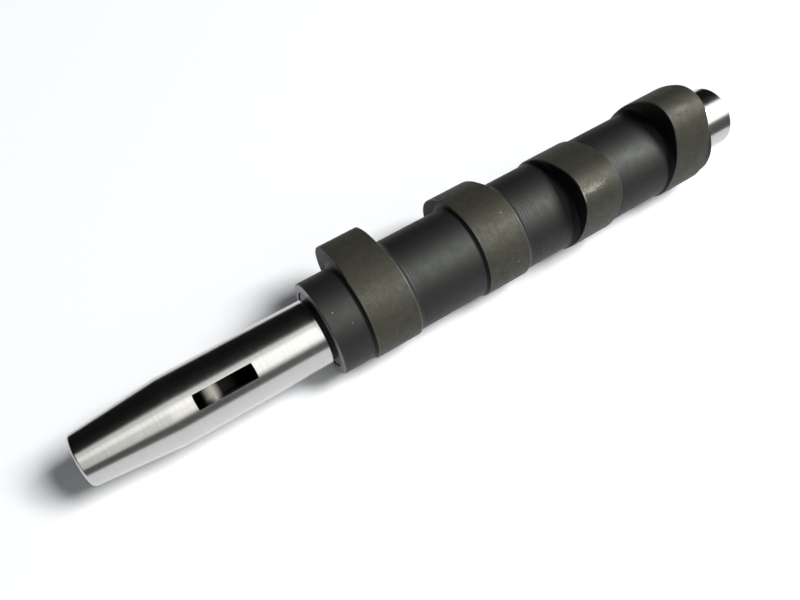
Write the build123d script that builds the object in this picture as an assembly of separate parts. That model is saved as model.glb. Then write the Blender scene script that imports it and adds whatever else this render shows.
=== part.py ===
from build123d import *

import os
from math import atan2, cos, radians, sin, sqrt

# Four-lobe camshaft, turned and ground from one bar. Lengths are in millimetres.
# +X runs along the shaft, from the tapered nose to the rear journal. The origin is on
# the axis at the inner end of the gear seat. +Z is up, with the shaft lying on the
# base circles of its lobes.

# ---- nose: a tapered end, then the ground seat that carries the timing gear ----
taper_end_dia = 16.9
taper_length = 27.5
seat_dia = 22.0
seat_length = 48.5

# ---- relief cut where the seat meets the thrust shoulder ----
relief_width = 1.4            # seat end to thrust face
relief_depth = 0.4            # into the thrust face
relief_outer_dia = 25.8
relief_neck_dia = 20.8

# ---- Woodruff keyway in the gear seat ----
key_width = 5.0
key_cutter_dia = 22.0
key_depth = 5.4
key_inset = 31.8              # seat end to keyway centre
key_angle = 133.0             # degrees about +X, from +Y towards +Z

# ---- body between the lobes ----
body_dia = 31.7
rear_land = 4.35              # body behind the last lobe

# ---- cam lobes ----
lobe_width = 14.65
base_dia = 33.3
lift = 7.4
nose_radius = 10.6
flank_radius = 29.8
root_radius = 2.2             # between each side of a lobe and the body
grind_allowance = 1.0         # left on the turned discs and ground away
lobe_angles = [19.2, -4.5, 131.2, 105.8]    # nose directions, measured as key_angle is
lobe_gaps = [12.25, 27.5, 20.3, 27.5]       # between one lobe's side and the next

# ---- rear journal ----
journal_dia = 21.7
journal_length = 15.3

# ---- edge breaks ----
end_chamfer = 0.6
shoulder_chamfer = 0.3

disc_r = base_dia / 2 + lift + grind_allowance
thrust_x = relief_width
nose_x = -seat_length - taper_length


def lobe_starts():
    """Front side of each lobe, counted along the shaft from the thrust face."""
    starts = []
    x = thrust_x
    for gap in lobe_gaps:
        starts.append(x + gap)
        x = x + gap + lobe_width
    return starts


body_end_x = lobe_starts()[-1] + lobe_width + rear_land
rear_x = body_end_x + journal_length


def blank_section():
    """Half section of the turned blank: a round disc stands where each lobe will be."""
    taper_r = taper_end_dia / 2
    seat_r = seat_dia / 2
    neck_r = relief_neck_dia / 2
    relief_r = relief_outer_dia / 2
    body_r = body_dia / 2
    journal_r = journal_dia / 2
    root_top = body_r + root_radius
    half_turn = root_radius * sqrt(0.5)
    edges = Polyline(
        (thrust_x + shoulder_chamfer, body_r),
        (thrust_x, body_r - shoulder_chamfer),
        (thrust_x, relief_r),
        (thrust_x + relief_depth, relief_r),
        (thrust_x + relief_depth, neck_r),
        (0, neck_r),
        (0, seat_r),
        (-seat_length, seat_r),
        (nose_x + end_chamfer, taper_r),
        (nose_x, taper_r - end_chamfer),
        (nose_x, 0),
        (rear_x, 0),
        (rear_x, journal_r - end_chamfer),
        (rear_x - end_chamfer, journal_r),
        (body_end_x, journal_r),
        (body_end_x, body_r - shoulder_chamfer),
        (body_end_x - shoulder_chamfer, body_r),
    ).edges()
    reached = thrust_x + shoulder_chamfer
    for front in lobe_starts():
        back = front + lobe_width
        edges.append(Line((reached, body_r), (front - root_radius, body_r)))
        edges.append(ThreePointArc(
            (front - root_radius, body_r),
            (front - root_radius + half_turn, root_top - half_turn),
            (front, root_top)))
        edges.extend(Polyline(
            (front, root_top), (front, disc_r), (back, disc_r), (back, root_top)).edges())
        edges.append(ThreePointArc(
            (back, root_top),
            (back + root_radius - half_turn, root_top - half_turn),
            (back + root_radius, body_r)))
        reached = back + root_radius
    edges.append(Line((reached, body_r), (body_end_x - shoulder_chamfer, body_r)))
    return make_face(edges)


def lobe_outline():
    """Base circle and nose circle, joined on each side by one tangent flank arc."""
    base_r = base_dia / 2
    nose_centre = base_r + lift - nose_radius
    to_base = flank_radius - base_r
    to_nose = flank_radius - nose_radius
    flank_x = (to_base**2 - to_nose**2 + nose_centre**2) / (2 * nose_centre)
    flank_y = -sqrt(to_base**2 - flank_x**2)
    nose_turn = atan2(-flank_y, nose_centre - flank_x)
    base_turn = atan2(-flank_y, -flank_x)
    flank_turn = (nose_turn + base_turn) / 2

    nose_join = (nose_centre + nose_radius * cos(nose_turn), nose_radius * sin(nose_turn))
    flank_mid = (flank_x + flank_radius * cos(flank_turn), flank_y + flank_radius * sin(flank_turn))
    base_join = (base_r * cos(base_turn), base_r * sin(base_turn))

    def mirrored(point):
        return (point[0], -point[1])

    return make_face([
        ThreePointArc(mirrored(nose_join), (base_r + lift, 0), nose_join),
        ThreePointArc(nose_join, flank_mid, base_join),
        ThreePointArc(base_join, (-base_r, 0), mirrored(base_join)),
        ThreePointArc(mirrored(base_join), mirrored(flank_mid), mirrored(nose_join)),
    ])


def across_shaft(x, angle):
    """Plane square to the shaft at x, whose own X points at the given angle."""
    turn = radians(angle)
    return Plane(origin=(x, 0, 0), x_dir=(0, cos(turn), sin(turn)), z_dir=(1, 0, 0))


def ground_away(front, angle):
    """What grinding the lobe takes off its disc, with the root radii on both sides."""
    ring = Circle(disc_r + grind_allowance) - lobe_outline()
    start = across_shaft(front - root_radius, angle)
    return extrude(start * ring, lobe_width + 2 * root_radius)


def keyway():
    """Path of the Woodruff cutter: a disc as wide as the key, square to the seat."""
    turn = radians(key_angle)
    radial = Vector(0, cos(turn), sin(turn))
    across = Vector(0, -sin(turn), cos(turn))
    cutter_height = seat_dia / 2 - key_depth + key_cutter_dia / 2
    centre = Vector(-key_inset, 0, 0) + radial * cutter_height
    disc_plane = Plane(origin=centre, x_dir=(1, 0, 0), z_dir=across)
    return disc_plane * Cylinder(key_cutter_dia / 2, key_width)


def camshaft():
    shaft = revolve(blank_section(), Axis.X)
    for front, angle in zip(lobe_starts(), lobe_angles):
        shaft = shaft - ground_away(front, angle)
    return shaft - keyway()


os.makedirs("parts", exist_ok=True)
export_step(camshaft(), "parts/camshaft.step")
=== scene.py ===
import bpy
from math import atan2, cos, pi, radians, sin, sqrt
from mathutils import Matrix, Vector


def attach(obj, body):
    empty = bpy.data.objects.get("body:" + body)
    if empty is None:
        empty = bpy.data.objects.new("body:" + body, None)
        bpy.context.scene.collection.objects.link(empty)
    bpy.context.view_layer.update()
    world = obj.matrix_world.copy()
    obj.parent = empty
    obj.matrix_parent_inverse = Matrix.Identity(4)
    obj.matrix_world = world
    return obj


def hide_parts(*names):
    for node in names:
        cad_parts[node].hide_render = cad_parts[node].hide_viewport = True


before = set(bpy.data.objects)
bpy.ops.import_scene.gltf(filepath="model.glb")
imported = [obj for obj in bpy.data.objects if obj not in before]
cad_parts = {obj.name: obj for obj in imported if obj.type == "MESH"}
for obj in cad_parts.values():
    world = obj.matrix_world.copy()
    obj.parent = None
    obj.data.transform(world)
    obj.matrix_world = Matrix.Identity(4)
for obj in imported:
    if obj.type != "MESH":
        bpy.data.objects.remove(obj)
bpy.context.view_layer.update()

mm = 0.001
scene = bpy.context.scene


# selecting and modifiers

def dropSelection():
    if bpy.context.object and bpy.context.object.mode != "OBJECT":
        bpy.ops.object.mode_set(mode="OBJECT")
    bpy.ops.object.select_all(action="DESELECT")


def pick(piece):
    dropSelection()
    piece.select_set(True)
    bpy.context.view_layer.objects.active = piece


def useModifier(piece, kind, **settings):
    pick(piece)
    modifier = piece.modifiers.new(kind.title(), kind)
    for name, value in settings.items():
        setattr(modifier, name, value)
    bpy.ops.object.modifier_apply(modifier=modifier.name)


# booleans hand back the same points in a new order each time, and welding depends on that
# order, so the mesh is written again with its points and faces sorted by place

def setInOrder(piece):
    dropSelection()
    mesh = piece.data
    places = [tuple(point.co) for point in mesh.vertices]
    order = sorted(range(len(places)), key=lambda index: places[index])
    rank = {index: place for place, index in enumerate(order)}
    faces = []
    for face in mesh.polygons:
        corners = [rank[index] for index in face.vertices]
        first = corners.index(min(corners))
        faces.append((corners[first:] + corners[:first], face.material_index))
    faces.sort()
    mesh.clear_geometry()
    mesh.from_pydata([places[index] for index in order], [], [corners for corners, slot in faces])
    for face, (corners, slot) in zip(mesh.polygons, faces):
        face.material_index = slot
    mesh.update()


finishOrder = ["groundSteel", "turnedBody", "camGround", "camSideShade", "camRim",
               "thrustFace", "reliefCutShade", "keyWallShade", "keyFloorShadeAndHighlight"]


# the turned blank: a disc at the nose, drawn along the axis ring by ring, with a taller
# disc standing where each cam will be

taperEnd = -48.5

turnedShaft = {
    "segments": 256,
    "noseDisc": (-76.0, 7.85),
    "frontRings": [             # along the axis, radius
        (-75.4, 8.45),          # nose chamfer
        (taperEnd, 11.0),       # taper
        (0.0, 11.0),            # gear seat
        (0.0, 10.4),
        (1.8, 10.4),            # relief behind the seat
        (1.8, 12.9),
        (1.4, 12.9),
        (1.4, 15.55),           # thrust face
        (1.7, 15.85),
    ],
    "rearRings": [
        (151.6, 15.85),         # body
        (151.9, 15.55),
        (151.9, 10.85),
        (166.6, 10.85),         # rear journal
        (167.2, 10.25),
    ],
    "edgeRound": 0.12,
}

camSizes = {
    "width": 14.65,
    "baseRadius": 16.65,
    "lift": 7.4,
    "noseRadius": 10.6,
    "flankRadius": 29.8,
    "starts": [13.65, 55.8, 90.75, 132.9],
    "noseAngles": [19.2, -4.5, 131.2, 105.8],   # about +X, from +Y towards +Z
    "arcSteps": (28, 40, 110),                  # half nose, flank, base
    "bodyRadius": 15.85,
    "rootRadius": 2.2,                          # between a cam's side and the body
    "rootSteps": 8,
    "discRadius": 25.05,
    "overcut": 1,                               # how far the core stands out past the roots
    "wheelReach": 2,                            # how far the grind stands out past the disc
    "wheelSegments": 96,
    "edgeRound": 0.35,
    "coreWeld": 0.001,                          # points closer than this become one
    "weld": 0.002,                              # the same, once the cams are ground
    "flatAngle": 0.3,                           # faces bent less than this are joined
    "rimAngle": 35,                             # an edge bent more than this is a rim
    "rimReach": 2,                              # rims lie this near a cam, along the axis
    "rimBelowBase": 0.3,                        # and no further inside its base circle
}


def blankRings(shaft, cams):
    rings = list(shaft["frontRings"])
    body, root, steps = cams["bodyRadius"], cams["rootRadius"], cams["rootSteps"]
    for front in cams["starts"]:
        back = front + cams["width"]
        turns = [radians(90) * step / steps for step in range(steps + 1)]
        rings += [(front - root + root * sin(turn), body + root - root * cos(turn)) for turn in turns]
        rings += [(front, cams["discRadius"]), (back, cams["discRadius"])]
        rings += [(back + root - root * cos(turn), body + root - root * sin(turn)) for turn in turns]
    return rings + shaft["rearRings"]


def makeShaft(sizes, cams):
    startX, startRadius = sizes["noseDisc"]
    dropSelection()
    bpy.ops.mesh.primitive_circle_add(
        vertices=sizes["segments"], radius=startRadius * mm, fill_type="NGON",
        location=(startX * mm, 0, 0), rotation=(0, radians(90), 0))
    shaft = bpy.context.object
    shaft.name = "turnedShaft"
    bpy.ops.object.transform_apply(location=True, rotation=True, scale=True)
    bpy.ops.object.mode_set(mode="EDIT")
    bpy.ops.mesh.select_all(action="SELECT")
    x, radius = startX, startRadius
    for nextX, nextRadius in blankRings(sizes, cams):
        bpy.ops.mesh.extrude_region_move(TRANSFORM_OT_translate={"value": ((nextX - x) * mm, 0, 0)})
        grow = nextRadius / radius
        bpy.ops.transform.resize(value=(1, grow, grow), center_override=(nextX * mm, 0, 0))
        x, radius = nextX, nextRadius
    bpy.ops.mesh.select_all(action="SELECT")
    bpy.ops.mesh.normals_make_consistent(inside=False)
    bpy.ops.object.mode_set(mode="OBJECT")
    useModifier(shaft, "BEVEL", width=sizes["edgeRound"] * mm, segments=3,
                limit_method="ANGLE", angle_limit=radians(30))
    return shaft


# the cam grind: nose, flank and base arcs spun one after another, filled and drawn to
# width, then taken out of a plain disc to leave what the wheel removes

def makeCamCore(sizes, start, noseAngle):
    base, nose, flank = sizes["baseRadius"], sizes["noseRadius"], sizes["flankRadius"]
    noseCentre = base + sizes["lift"] - nose
    flankX = ((flank - base) ** 2 - (flank - nose) ** 2 + noseCentre ** 2) / (2 * noseCentre)
    flankY = -sqrt((flank - base) ** 2 - flankX ** 2)
    noseTurn = atan2(-flankY, noseCentre - flankX)
    baseTurn = atan2(-flankY, -flankX)
    dropSelection()
    bpy.ops.mesh.primitive_plane_add(size=mm, location=(0, 0, 0))
    core = bpy.context.object
    core.name = "camCore"
    bpy.ops.object.mode_set(mode="EDIT")
    bpy.ops.mesh.select_all(action="SELECT")
    bpy.ops.mesh.merge(type="CENTER")
    bpy.ops.transform.translate(value=(0, (base + sizes["lift"]) * mm, 0))
    arcs = [
        (sizes["arcSteps"][0], noseTurn, (noseCentre, 0)),
        (sizes["arcSteps"][1], baseTurn - noseTurn, (flankX, flankY)),
        (sizes["arcSteps"][2], 2 * (radians(180) - baseTurn), (0, 0)),
        (sizes["arcSteps"][1], baseTurn - noseTurn, (flankX, -flankY)),
        (sizes["arcSteps"][0], noseTurn, (noseCentre, 0)),
    ]
    for steps, turn, (y, z) in arcs:
        bpy.ops.mesh.spin(steps=steps, angle=-turn, center=(0, y * mm, z * mm), axis=(1, 0, 0))
    bpy.ops.mesh.select_all(action="SELECT")
    bpy.ops.mesh.remove_doubles(threshold=sizes["coreWeld"] * mm)
    bpy.ops.mesh.edge_face_add()
    reach = sizes["width"] + 2 * (sizes["rootRadius"] + sizes["overcut"])
    bpy.ops.mesh.extrude_region_move(TRANSFORM_OT_translate={"value": (reach * mm, 0, 0)})
    bpy.ops.mesh.select_all(action="SELECT")
    bpy.ops.mesh.normals_make_consistent(inside=False)
    bpy.ops.object.mode_set(mode="OBJECT")
    core.rotation_euler = (radians(noseAngle), 0, 0)
    core.location = ((start - sizes["rootRadius"] - sizes["overcut"]) * mm, 0, 0)
    bpy.ops.object.transform_apply(location=True, rotation=True, scale=True)
    return core


def makeGrind(sizes, start, noseAngle):
    core = makeCamCore(sizes, start, noseAngle)
    dropSelection()
    bpy.ops.mesh.primitive_cylinder_add(
        vertices=sizes["wheelSegments"], radius=(sizes["discRadius"] + sizes["wheelReach"]) * mm,
        depth=(sizes["width"] + 2 * sizes["rootRadius"]) * mm,
        location=((start + sizes["width"] / 2) * mm, 0, 0), rotation=(0, radians(90), 0))
    grind = bpy.context.object
    grind.name = "camGrind"
    bpy.ops.object.transform_apply(location=True, rotation=True, scale=True)
    useModifier(grind, "BOOLEAN", object=core, operation="DIFFERENCE", solver="EXACT")
    bpy.data.objects.remove(core)
    return grind


def isCamRim(edge, faces, points, sizes):
    if len(faces) != 2 or faces[0].normal.angle(faces[1].normal) < radians(sizes["rimAngle"]):
        return False
    x, y, z = (points[edge.vertices[0]].co + points[edge.vertices[1]].co) / (2 * mm)
    reach = sizes["rimReach"]
    near = any(start - reach < x < start + sizes["width"] + reach for start in sizes["starts"])
    return near and y * y + z * z > (sizes["baseRadius"] - sizes["rimBelowBase"]) ** 2


def roundCamRims(shaft, sizes):
    pick(shaft)
    bpy.ops.object.mode_set(mode="EDIT")
    bpy.ops.mesh.select_all(action="SELECT")
    bpy.ops.mesh.remove_doubles(threshold=sizes["weld"] * mm)
    bpy.ops.mesh.dissolve_limited(angle_limit=radians(sizes["flatAngle"]))
    bpy.ops.mesh.select_all(action="DESELECT")
    bpy.ops.mesh.select_mode(type="EDGE")
    bpy.ops.object.mode_set(mode="OBJECT")
    mesh = shaft.data
    beside = {}
    for face in mesh.polygons:
        for key in face.edge_keys:
            beside.setdefault(key, []).append(face)
    for edge in mesh.edges:
        edge.select = isCamRim(edge, beside[edge.key], mesh.vertices, sizes)
    bpy.ops.object.mode_set(mode="EDIT")
    bpy.ops.mesh.bevel(offset=sizes["edgeRound"] * mm, segments=3, affect="EDGES",
                       clamp_overlap=False, material=finishOrder.index("camRim"))
    bpy.ops.object.mode_set(mode="OBJECT")


# the keyway: a Woodruff cutter's disc, sunk into the seat

keyway = {
    "width": 5.0,
    "cutterRadius": 11.0,
    "depth": 5.4,
    "seatRadius": 11.0,
    "alongShaft": -31.8,
    "angle": 133.0,
    "segments": 160,
}


def makeCutter(sizes):
    out = sizes["seatRadius"] - sizes["depth"] + sizes["cutterRadius"]
    turn = radians(sizes["angle"])
    dropSelection()
    bpy.ops.mesh.primitive_cylinder_add(
        vertices=sizes["segments"], radius=sizes["cutterRadius"] * mm, depth=sizes["width"] * mm,
        location=(sizes["alongShaft"] * mm, out * cos(turn) * mm, out * sin(turn) * mm),
        rotation=(turn, 0, 0))
    cutter = bpy.context.object
    cutter.name = "keyCutter"
    bpy.ops.object.transform_apply(location=True, rotation=True, scale=True)
    return cutter


camshaft = makeShaft(turnedShaft, camSizes)
for name in finishOrder:
    camshaft.data.materials.append(bpy.data.materials.new(name))
print("blank turned")
grinds = [makeGrind(camSizes, start, angle)
          for start, angle in zip(camSizes["starts"], camSizes["noseAngles"])]
pick(grinds[0])
for grind in grinds:
    grind.select_set(True)
bpy.ops.object.join()
useModifier(camshaft, "BOOLEAN", object=grinds[0], operation="DIFFERENCE", solver="EXACT")
bpy.data.objects.remove(grinds[0])
setInOrder(camshaft)
roundCamRims(camshaft, camSizes)
print("cams ground")
cutter = makeCutter(keyway)
useModifier(camshaft, "BOOLEAN", object=cutter, operation="DIFFERENCE", solver="EXACT")
bpy.data.objects.remove(cutter)
setInOrder(camshaft)
camshaft.name = "camshaftBody"
print("keyway cut:", len(camshaft.data.polygons), "faces")


# shared shader groups

def linkAll(tree, pairs):
    for start, end in pairs:
        tree.links.new(start, end)


def addNode(tree, kind, inputs=None, **settings):
    node = tree.nodes.new(kind)
    for name, value in settings.items():
        setattr(node, name, value)
    for name, value in (inputs or {}).items():
        if isinstance(value, bpy.types.NodeSocket):
            tree.links.new(value, node.inputs[name])
        else:
            node.inputs[name].default_value = value
    return node


def newGroup(name, inputs, outputs):
    group = bpy.data.node_groups.new(name, "ShaderNodeTree")
    for socketName, value in inputs.items():
        kind = "NodeSocketVector" if isinstance(value, tuple) else "NodeSocketFloat"
        socket = group.interface.new_socket(name=socketName, in_out="INPUT", socket_type=kind)
        socket.default_value = value
    for socketName in outputs:
        group.interface.new_socket(name=socketName, in_out="OUTPUT", socket_type="NodeSocketFloat")
    return group, group.nodes.new("NodeGroupInput"), group.nodes.new("NodeGroupOutput")


def inMillimetres(tree):
    place = addNode(tree, "ShaderNodeTexCoord")
    return addNode(tree, "ShaderNodeVectorMath", {0: place.outputs["Object"], 1: (1000, 1000, 1000)},
                   operation="MULTIPLY").outputs[0]


def blend(tree, amount, low, high):
    node = addNode(tree, "ShaderNodeMapRange", {"Value": amount, "To Min": low, "To Max": high})
    return node.outputs["Result"]


def math(tree, operation, first, second=0.0, clamp=False):
    node = addNode(tree, "ShaderNodeMath", {0: first, 1: second}, operation=operation, use_clamp=clamp)
    return node.outputs[0]


def makeRingGroup():
    group, given, result = newGroup(
        "ringMarks", {"Rings per mm": 6.0, "Waver": 0.05, "Sharpness": 0.5}, ["Tone"])
    steps = addNode(group, "ShaderNodeCombineXYZ", {
        "X": given.outputs["Rings per mm"], "Y": given.outputs["Waver"], "Z": given.outputs["Waver"]})
    stretched = addNode(group, "ShaderNodeVectorMath", {0: inMillimetres(group), 1: steps.outputs[0]},
                        operation="MULTIPLY")
    noise = addNode(group, "ShaderNodeTexNoise", {
        "Vector": stretched.outputs[0], "Scale": 1.0, "Detail": 5.0,
        "Roughness": given.outputs["Sharpness"]})
    group.links.new(noise.outputs["Fac"], result.inputs["Tone"])
    return group


def makeMottleGroup():
    group, given, result = newGroup("mottle", {"Grain mm": 0.6, "Cloud mm": 5.0, "Fine share": 0.35,
                                               "Cloud share": 0.4}, ["Tone", "Grain"])
    place = inMillimetres(group)
    grainScale = math(group, "DIVIDE", 1.0, given.outputs["Grain mm"])
    coarse = addNode(group, "ShaderNodeTexNoise", {
        "Vector": place, "Scale": grainScale, "Detail": 4.0, "Roughness": 0.6})
    fine = addNode(group, "ShaderNodeTexVoronoi", {
        "Vector": place, "Scale": math(group, "MULTIPLY", grainScale, 3.0)})
    grain = addNode(group, "ShaderNodeMix", {
        "Factor": given.outputs["Fine share"], "A": coarse.outputs["Fac"],
        "B": fine.outputs["Distance"]}, data_type="FLOAT").outputs["Result"]
    cloud = addNode(group, "ShaderNodeTexNoise", {
        "Vector": place, "Scale": math(group, "DIVIDE", 1.0, given.outputs["Cloud mm"]),
        "Detail": 3.0, "Roughness": 0.55, "Distortion": 0.6})
    tone = addNode(group, "ShaderNodeMix", {
        "Factor": given.outputs["Cloud share"], "A": grain, "B": cloud.outputs["Fac"]},
        data_type="FLOAT")
    linkAll(group, [(tone.outputs["Result"], result.inputs["Tone"]), (grain, result.inputs["Grain"])])
    return group


# a soft-edged mask for rubbed places and for painted highlights
def makeMarkGroup():
    group, given, result = newGroup(
        "rubAndPaintedLightMark", {"Centre mm": (0.0, 0.0, 0.0), "Reach mm": (1.0, 1.0, 1.0), "Ragged": 0.5,
                       "Softness": 0.4}, ["Mask"])
    place = inMillimetres(group)
    stray = 4.0                 # how far a wholly ragged edge wanders, in reaches
    away = addNode(group, "ShaderNodeVectorMath", {0: place, 1: given.outputs["Centre mm"]},
                   operation="SUBTRACT")
    scaled = addNode(group, "ShaderNodeVectorMath", {0: away.outputs[0], 1: given.outputs["Reach mm"]},
                     operation="DIVIDE")
    distance = addNode(group, "ShaderNodeVectorMath", {0: scaled.outputs[0]}, operation="LENGTH")
    noise = addNode(group, "ShaderNodeTexNoise", {"Vector": place, "Scale": 1.6, "Detail": 6.0,
                                                  "Roughness": 0.7})
    wobble = math(group, "MULTIPLY", math(group, "SUBTRACT", noise.outputs["Fac"], 0.5),
                  math(group, "MULTIPLY", given.outputs["Ragged"], stray))
    edge = math(group, "ADD", distance.outputs["Value"], wobble)
    mask = addNode(group, "ShaderNodeMapRange", {
        "Value": edge, "From Min": 1.0,
        "From Max": math(group, "SUBTRACT", 1.0, given.outputs["Softness"])})
    group.links.new(mask.outputs["Result"], result.inputs["Mask"])
    return group


def makeBandGroup():
    group, given, result = newGroup("toolBand", {"Start mm": 0.0, "End mm": 1.0, "Pitch mm": 0.9},
                                    ["Rings"])
    place = inMillimetres(group)
    along = addNode(group, "ShaderNodeSeparateXYZ", {"Vector": place}).outputs["X"]
    inside = math(group, "MULTIPLY",
                  math(group, "SUBTRACT", along, given.outputs["Start mm"], True),
                  math(group, "SUBTRACT", given.outputs["End mm"], along, True))
    sway = 1.2                  # how far the rings wander, in pitches
    noise = addNode(group, "ShaderNodeTexNoise", {"Vector": place, "Scale": 0.35, "Detail": 3.0})
    phase = math(group, "ADD", math(group, "DIVIDE", along, given.outputs["Pitch mm"]),
                 math(group, "MULTIPLY", noise.outputs["Fac"], sway))
    wave = math(group, "SINE", math(group, "MULTIPLY", phase, 2 * pi))
    fade = math(group, "MULTIPLY", inside, noise.outputs["Fac"])
    linkAll(group, [(math(group, "MULTIPLY", wave, fade), result.inputs["Rings"])])
    return group


ringMarks = makeRingGroup()
mottle = makeMottleGroup()
rubAndPaintedLightMark = makeMarkGroup()
toolBand = makeBandGroup()


# finishes: colours, metal share and roughness at the dark and the light end of the pattern

finishes = {
    "groundSteel": {"colours": ((0.505, 0.507, 0.498), (0.56, 0.562, 0.552)), "metal": 1.0,
                    "rough": (0.17, 0.24), "specular": 0.5, "ringShare": 0.9,
                    "rings": (7.0, 0.04), "grain": (0.5, 5.0, 0.2), "depth": 0.003},
    "turnedBody": {"colours": ((0.004, 0.0042, 0.0039), (0.009, 0.0094, 0.0086)), "metal": 0.0,
                   "rough": (0.5, 0.65), "specular": 0.4, "tint": (0.96, 1.0, 0.96),
                   "ringShare": 0.25, "rings": (3.0, 0.05), "grain": (0.5, 4.0, 0.5), "depth": 0.012},
    "camGround": {"colours": ((0.009, 0.009, 0.006), (0.042, 0.0415, 0.031)), "metal": 0.0,
                  "rough": (0.5, 0.7), "specular": 0.43, "tint": (1.0, 0.99, 0.84),
                  "ringShare": 0.15, "rings": (2.0, 0.25), "grain": (0.4, 2.6, 0.4), "depth": 0.014},
    # painted shade: the cams' sides, and the roots that face the nose, are made darker and duller than
    # the body they belong to, as the shade that falls on them
    "camSideShade": {"colours": ((0.0025, 0.0025, 0.0025), (0.006, 0.006, 0.006)), "metal": 0.0,
                "rough": (0.42, 0.52), "specular": 0.12, "ringShare": 0.3,
                "rings": (3.0, 0.05), "grain": (0.5, 4.0, 0.4), "depth": 0.006},
    "camRim": {"colours": ((0.02, 0.02, 0.016), (0.05, 0.049, 0.042)), "metal": 0.0,
               "rough": (0.42, 0.55), "specular": 0.6, "ringShare": 0.2,
               "rings": (3.0, 0.1), "grain": (0.3, 3.0, 0.4), "depth": 0.004},
    "thrustFace": {"colours": ((0.28, 0.285, 0.29), (0.44, 0.44, 0.44)), "metal": 1.0,
                   "rough": (0.34, 0.44), "specular": 0.5, "ringShare": 0.4,
                   "rings": (4.0, 0.6), "grain": (0.4, 3.0, 0.3), "depth": 0.006},
    # painted shade: the relief groove's walls are made near black, as the shade inside the groove
    "reliefCutShade": {"colours": ((0.008, 0.008, 0.008), (0.016, 0.016, 0.016)), "metal": 0.0,
                  "rough": (0.5, 0.6), "specular": 0.2, "ringShare": 0.5,
                  "rings": (6.0, 0.3), "grain": (0.4, 3.0, 0.3), "depth": 0.006},
    # painted shade: the keyway's walls are made near black, as the shade inside the slot
    "keyWallShade": {"colours": ((0.008, 0.008, 0.009), (0.02, 0.02, 0.02)), "metal": 0.0,
                "rough": (0.35, 0.5), "specular": 0.3, "ringShare": 0.3,
                "rings": (5.0, 0.5), "grain": (0.3, 2.0, 0.3), "depth": 0.004},
    # painted shade: the keyway's floor is a near-black mirror, as the shade inside the slot; a painted
    # highlight band is added to it among the marks below
    "keyFloorShadeAndHighlight": {"colours": ((0.004, 0.004, 0.004), (0.008, 0.008, 0.0075)), "metal": 1.0,
                 "rough": (0.16, 0.24), "specular": 0.5, "ringShare": 0.7,
                 "rings": (6.0, 0.2), "grain": (0.3, 2.0, 0.3), "depth": 0.004},
}

# rubbed and nicked places, and a few marks of painted light: centre, reach, raggedness, softness, colour
rubsAndPaintedLight = {
    "turnedBody": [
        ((4.5, -7.2, 14.1), (0.28, 0.28, 0.28), 0.15, 0.4, (0.18, 0.18, 0.17)),
        ((8.3, -11.5, 10.9), (0.25, 0.25, 0.25), 0.15, 0.4, (0.13, 0.13, 0.13)),
        # a faint lighter patch on the body between the third and fourth cams
        ((119.5, -8.6, 13.4), (5.5, 4.0, 3.0), 0.8, 0.9, (0.032, 0.033, 0.031)),
    ],
    "camGround": [
        ((95.0, -15.9, 18.0), (5.6, 1.9, 1.9), 0.9, 0.9, (0.15, 0.145, 0.12)),
        ((94.4, -16.1, 17.8), (4.6, 0.8, 0.8), 1.0, 0.6, (0.2, 0.19, 0.16)),
        ((101.9, -18.6, 0.9), (0.4, 0.5, 0.5), 0.3, 0.4, (0.14, 0.135, 0.12)),
        ((100.3, -17.3, -3.1), (0.6, 0.6, 0.6), 0.3, 0.4, (0.11, 0.105, 0.09)),
        ((66.7, -5.5, 15.7), (0.3, 0.3, 0.3), 0.15, 0.4, (0.2, 0.195, 0.17)),
        ((66.0, -16.4, 2.9), (0.45, 0.35, 0.35), 0.25, 0.4, (0.15, 0.145, 0.13)),
        ((138.5, -8.2, 22.6), (4.5, 1.6, 1.2), 0.6, 0.6, (0.08, 0.078, 0.062)),
    ],
    "camRim": [
        # the third cam's front rim where its rubbed patch reaches the edge, made much brighter as a
        # painted highlight on that edge
        ((90.9, -16.5, 17.4), (0.8, 2.8, 2.8), 0.3, 0.8, (0.42, 0.4, 0.34)),
    ],
    "groundSteel": [
        ((-34.8, -2.5, 10.7), (0.4, 0.4, 0.4), 0.2, 0.4, (0.9, 0.9, 0.9)),
    ],
    "keyFloorShadeAndHighlight": [
        # painted highlight: a light band across the slot's floor where a reflection falls
        ((-36.1, -4.3, 4.6), (2.9, 60.0, 60.0), 0.1, 0.8, (0.17, 0.168, 0.155)),
    ],
}

# turning rings left beside the cams: start, end and pitch, and how strongly they show
toolBands = [(29.5, 35.0, 0.9), (71.5, 79.5, 1.1)]
bandTone = 0.5
bandHeight = 0.6

# the part of the pattern's spread that runs from the dark end to the light end
patternSpread = (0.32, 0.68)


def mixTone(tree, tone, low, high):
    colour = addNode(tree, "ShaderNodeMix", data_type="RGBA")
    tree.links.new(tone, colour.inputs["Factor"])
    for socket, value in (("A", low), ("B", high)):
        if isinstance(value, bpy.types.NodeSocket):
            tree.links.new(value, colour.inputs[socket])
        else:
            colour.inputs[socket].default_value = (*value, 1)
    return next(out for out in colour.outputs if out.type == "RGBA")


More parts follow.
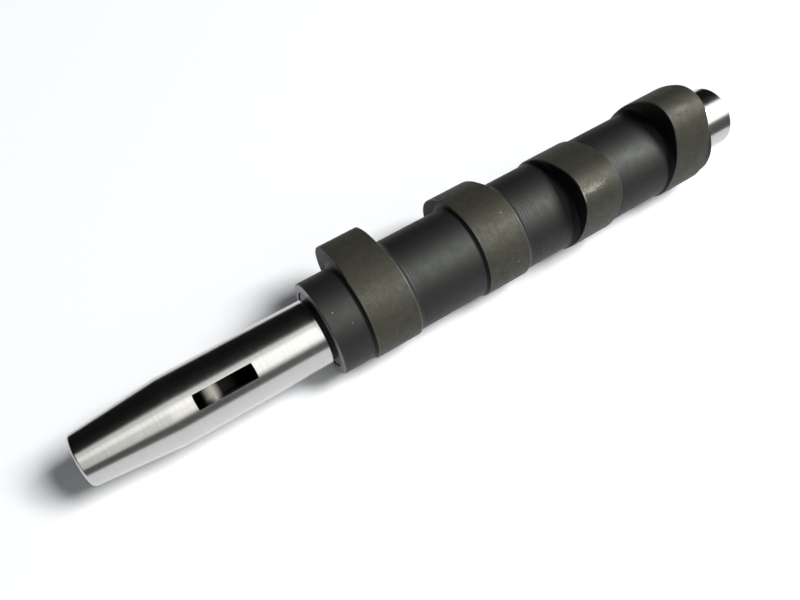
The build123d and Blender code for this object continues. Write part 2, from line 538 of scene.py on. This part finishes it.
def makeFinish(name, look):
    material = bpy.data.materials[name]
    material.use_nodes = True
    tree = material.node_tree
    shader = tree.nodes["Principled BSDF"]
    rings = addNode(tree, "ShaderNodeGroup", node_tree=ringMarks)
    rings.inputs["Rings per mm"].default_value = look["rings"][0]
    rings.inputs["Waver"].default_value = look["rings"][1]
    grain = addNode(tree, "ShaderNodeGroup", node_tree=mottle)
    for socket, value in zip(("Grain mm", "Cloud mm", "Cloud share"), look["grain"]):
        grain.inputs[socket].default_value = value
    pattern = addNode(tree, "ShaderNodeMix", {
        "Factor": look["ringShare"], "A": grain.outputs["Tone"], "B": rings.outputs["Tone"]},
        data_type="FLOAT").outputs["Result"]
    height = addNode(tree, "ShaderNodeMix", {
        "Factor": look["ringShare"], "A": grain.outputs["Grain"], "B": rings.outputs["Tone"]},
        data_type="FLOAT").outputs["Result"]
    tone = addNode(tree, "ShaderNodeMapRange", {
        "Value": pattern, "From Min": patternSpread[0],
        "From Max": patternSpread[1]}).outputs["Result"]
    if name == "turnedBody":
        for start, end, pitch in toolBands:
            band = addNode(tree, "ShaderNodeGroup", node_tree=toolBand)
            for socket, value in zip(("Start mm", "End mm", "Pitch mm"), (start, end, pitch)):
                band.inputs[socket].default_value = value
            ringTone = math(tree, "MULTIPLY", band.outputs["Rings"], bandTone)
            ringHeight = math(tree, "MULTIPLY", band.outputs["Rings"], bandHeight)
            tone = math(tree, "ADD", tone, ringTone, True)
            height = math(tree, "ADD", height, ringHeight)
    colour = mixTone(tree, tone, *look["colours"])
    roughness = blend(tree, tone, look["rough"][1], look["rough"][0])
    for centre, reach, ragged, softness, shade in rubsAndPaintedLight.get(name, []):
        mark = addNode(tree, "ShaderNodeGroup", node_tree=rubAndPaintedLightMark)
        mark.inputs["Centre mm"].default_value = centre
        mark.inputs["Reach mm"].default_value = reach
        mark.inputs["Ragged"].default_value = ragged
        mark.inputs["Softness"].default_value = softness
        colour = mixTone(tree, mark.outputs["Mask"], colour, shade)
    tree.links.new(colour, shader.inputs["Base Color"])
    tree.links.new(roughness, shader.inputs["Roughness"])
    shader.inputs["Metallic"].default_value = look["metal"]
    shader.inputs["Specular IOR Level"].default_value = look["specular"]
    shader.inputs["Specular Tint"].default_value = (*look.get("tint", (1.0, 1.0, 1.0)), 1)
    bump = addNode(tree, "ShaderNodeBump", {"Height": height, "Distance": look["depth"] * mm})
    tree.links.new(bump.outputs["Normal"], shader.inputs["Normal"])


for name in finishOrder:
    makeFinish(name, finishes[name])
print("finishes made")


# where one finish gives way to the next: places along the axis, then distances from it,
# then how squarely a face has to look one way
finishEdges = {
    "seatEnd": -0.05,
    "shoulderRim": 1.75,
    "shoulderEnd": 1.85,
    "rearFace": 151.85,
    "journalStart": 151.95,
    "slotRadius": 10.93,
    "journalRadius": 10.9,
    "shoulderRadius": 15.6,
    "rootRadius": 15.95,
    "camRadius": 16.2,
    "sideRadius": 18.1,
    "square": 0.9,
    "sloping": 0.2,
}


# the keyway's walls and floor both take painted shade
def slotFinish(face, edges):
    turn = radians(keyway["angle"])
    across = Vector((0, -sin(turn), cos(turn)))
    return "keyWallShade" if abs(face.normal.dot(across)) > edges["square"] else "keyFloorShadeAndHighlight"


def finishOf(face, edges):
    x, y, z = face.center / mm
    radius = sqrt(y * y + z * z)
    overSlot = x < 0 and abs(x - keyway["alongShaft"]) < keyway["cutterRadius"]
    facing = face.normal.x
    if finishOrder[face.material_index] == "camRim":
        return "camRim"
    if overSlot and radius < edges["slotRadius"]:
        return slotFinish(face, edges)
    if x < edges["seatEnd"] or x > edges["journalStart"]:
        return "groundSteel"
    if x < edges["shoulderEnd"] and radius < edges["shoulderRadius"]:
        # faces of the relief groove that do not look toward the nose take the painted shade
        return "thrustFace" if facing < -edges["square"] else "reliefCutShade"
    if x < edges["shoulderRim"]:
        return "camRim"
    if x > edges["rearFace"] and radius > edges["journalRadius"]:
        return "thrustFace"
    if radius > edges["camRadius"] and abs(facing) < edges["sloping"]:
        return "camGround"
    # the cams' sides and the nose-facing roots take the painted shade
    if radius > edges["rootRadius"] and (radius > edges["sideRadius"] or facing < -edges["sloping"]):
        return "camSideShade"
    return "turnedBody"


for face in camshaft.data.polygons:
    face.material_index = finishOrder.index(finishOf(face, finishEdges))


# the ring where the taper meets the seat stays a crisp edge, so both long faces shade true

def keepRingSharp(piece, x):
    slack = 0.01
    pick(piece)
    bpy.ops.object.mode_set(mode="EDIT")
    bpy.ops.mesh.select_mode(type="EDGE")
    bpy.ops.mesh.select_all(action="DESELECT")
    bpy.ops.object.mode_set(mode="OBJECT")
    points = piece.data.vertices
    for edge in piece.data.edges:
        edge.select = all(abs(points[end].co.x / mm - x) < slack for end in edge.vertices)
    bpy.ops.object.mode_set(mode="EDIT")
    bpy.ops.mesh.mark_sharp()
    bpy.ops.object.mode_set(mode="OBJECT")


keepRingSharp(camshaft, taperEnd)
bpy.ops.object.shade_smooth_by_angle(angle=radians(30))
useModifier(camshaft, "WEIGHTED_NORMAL", mode="FACE_AREA", weight=50, keep_sharp=True)
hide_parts("camshaft")
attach(camshaft, "root")
print("finishes set")


# studio

studio = {
    "floor": -16.65,
    "floorColour": (0.875, 0.88, 0.89),
    "floorSize": 3000,
    "roomLight": 0.07,          # what the room gives matt surfaces
    "roomColour": (0.86, 0.93, 1.0),
    "seenColour": (1.0, 0.985, 0.95),
    "floorLift": 0.035,         # added white, for the camera and for reflections
}

# lamps: direction to the lamp, distance, middle along X, size along and across, brightness
# of its face, seen in reflections or not
lamps = {
    "windowLamp": {"toward": (0.67, -0.49, 0.90), "distance": 8000, "along": 0,
                   "size": (2800, 2800), "radiance": 35.5, "mirrored": True},
    "frontPanel": {"toward": (0.0, -0.766, 0.643), "distance": 1800, "along": 2000,
                   "size": (5000, 1600), "radiance": 0.45, "mirrored": False},
}

# cards that only reflections see: middle, size, turn about X and Z, brightness along X
cards = {
    "backCard": {"middle": (200, 230, 304), "size": (3200, 640), "turn": (90, 0),
                 "glow": [(0, 0.005)]},
    "overCard": {"middle": (200, 275, 620), "size": (3200, 670), "turn": (0, 0),
                 "glow": [(0, 0.005)]},
    "frontCard": {"middle": (-630, -184, 33), "size": (1340, 200), "turn": (-30, 0),
                  "glow": [(-150, 0.08), (40, 0.14)]},
    "leftCard": {"middle": (-760, -300, 620), "size": (2400, 1270), "turn": (90, 90),
                 "glow": [(0, 0.02)]},
    "endCard": {"middle": (748, 13, 33), "size": (1580, 200), "turn": (-30, 15.4),
                "glow": [(0, 0.12)]},
    "endGlow": {"middle": (1000, -25, 600), "size": (880, 90), "turn": (0, 0),
                "glow": [(0, 1.4)]},
    "upperGlow": {"middle": (600, -477, 763), "size": (4000, 283), "turn": (-148, 0),
                  "glow": [(-580, 0.1), (-420, 1.5), (-70, 1.8), (60, 1.8), (163, 1.55), (350, 1.2),
                           (430, 0.5), (560, 0.5), (700, 1.6), (900, 2.3)]},
    "lowerGlow": {"middle": (600, -719, 541), "size": (4000, 380), "turn": (-127, 0),
                  "glow": [(-580, 0.1), (-400, 0.95), (-270, 1.13), (-70, 1.5), (50, 1.8), (300, 1.9)]},
}


def seenByEye(tree):
    path = addNode(tree, "ShaderNodeLightPath")
    seen = math(tree, "MAXIMUM", path.outputs["Is Camera Ray"], path.outputs["Is Glossy Ray"])
    return math(tree, "MAXIMUM", seen, path.outputs["Is Transmission Ray"])


def stageMaterial(name, colour, glow, glowColour=(1, 1, 1)):
    material = bpy.data.materials.new(name)
    material.use_nodes = True
    tree = material.node_tree
    shader = tree.nodes["Principled BSDF"]
    shader.inputs["Base Color"].default_value = (*colour, 1)
    shader.inputs["Roughness"].default_value = 1.0
    shader.inputs["Specular IOR Level"].default_value = 0.0
    shader.inputs["Emission Color"].default_value = (*glowColour, 1)
    tree.links.new(math(tree, "MULTIPLY", seenByEye(tree), glow), shader.inputs["Emission Strength"])
    return material


def glowAlong(name, stops):
    material = stageMaterial(name, (0.001, 0.001, 0.001), 1.0, studio["seenColour"])
    tree = material.node_tree
    shader = tree.nodes["Principled BSDF"]
    place = addNode(tree, "ShaderNodeTexCoord")
    along = addNode(tree, "ShaderNodeSeparateXYZ", {"Vector": place.outputs["Object"]}).outputs["X"]
    total = stops[0][1]
    for (startX, startGlow), (endX, endGlow) in zip(stops, stops[1:]):
        step = addNode(tree, "ShaderNodeMapRange", {
            "Value": along, "From Min": startX * mm, "From Max": endX * mm,
            "To Max": endGlow - startGlow}).outputs["Result"]
        total = math(tree, "ADD", step, total)
    tree.links.new(math(tree, "MULTIPLY", seenByEye(tree), total), shader.inputs["Emission Strength"])
    return material


def makeFloor(setup):
    dropSelection()
    bpy.ops.mesh.primitive_plane_add(size=setup["floorSize"] * mm, location=(0, 0, setup["floor"] * mm))
    floor = bpy.context.object
    floor.name = "floor"
    floor.data.materials.append(stageMaterial("floorPaper", setup["floorColour"], setup["floorLift"]))


def makeRoom(setup):
    world = bpy.data.worlds.new("room")
    world.use_nodes = True
    scene.world = world
    background = world.node_tree.nodes["Background"]
    path = addNode(world.node_tree, "ShaderNodeLightPath")
    mirrored = mixTone(world.node_tree, path.outputs["Is Glossy Ray"],
                       setup["roomColour"], setup["seenColour"])
    colour = mixTone(world.node_tree, path.outputs["Is Camera Ray"], mirrored, (1, 1, 1))
    world.node_tree.links.new(colour, background.inputs["Color"])
    strength = blend(world.node_tree, seenByEye(world.node_tree), setup["roomLight"], 1.0)
    world.node_tree.links.new(strength, background.inputs["Strength"])


def makeLamp(name, setup):
    toward = Vector(setup["toward"]).normalized()
    lamp = bpy.data.lights.new(name, "AREA")
    lamp.shape = "RECTANGLE"
    lamp.size = setup["size"][0] * mm
    lamp.size_y = setup["size"][1] * mm
    lamp.energy = setup["radiance"] * pi * lamp.size * lamp.size_y
    lampObject = bpy.data.objects.new(name, lamp)
    scene.collection.objects.link(lampObject)
    lampObject.location = (toward * setup["distance"] + Vector((setup["along"], 0, 0))) * mm
    sideways = (Vector((1, 0, 0)) - toward * toward.x).normalized()
    lampObject.rotation_euler = Matrix((sideways, toward.cross(sideways), toward)).transposed().to_euler()
    lampObject.visible_camera = False
    lampObject.visible_glossy = setup["mirrored"]


def makeCard(name, setup):
    dropSelection()
    bpy.ops.mesh.primitive_plane_add(size=mm)
    card = bpy.context.object
    card.name = name
    card.scale = (*setup["size"], 1)
    card.rotation_euler = (radians(setup["turn"][0]), 0, radians(setup["turn"][1]))
    card.location = [value * mm for value in setup["middle"]]
    bpy.ops.object.transform_apply(location=True, rotation=True, scale=True)
    card.data.materials.append(glowAlong(name, setup["glow"]))
    card.visible_camera = False
    card.visible_diffuse = False
    card.visible_shadow = False


makeFloor(studio)
makeRoom(studio)
for name, setup in lamps.items():
    makeLamp(name, setup)
for name, setup in cards.items():
    makeCard(name, setup)

cameraSetup = {
    "place": (-37.46, -135.48, 186.46),
    "turn": (37.802, 4.649, -32.592),
    "lens": 33.68,
}
cameraData = bpy.data.cameras.new("camera")
cameraData.lens = cameraSetup["lens"]
cameraData.sensor_width = 36
cameraData.clip_start = 0.01
camera = bpy.data.objects.new("camera", cameraData)
scene.collection.objects.link(camera)
camera.location = [value * mm for value in cameraSetup["place"]]
camera.rotation_euler = [radians(value) for value in cameraSetup["turn"]]
scene.camera = camera
scene.view_settings.view_transform = "Standard"
print("studio and camera set")
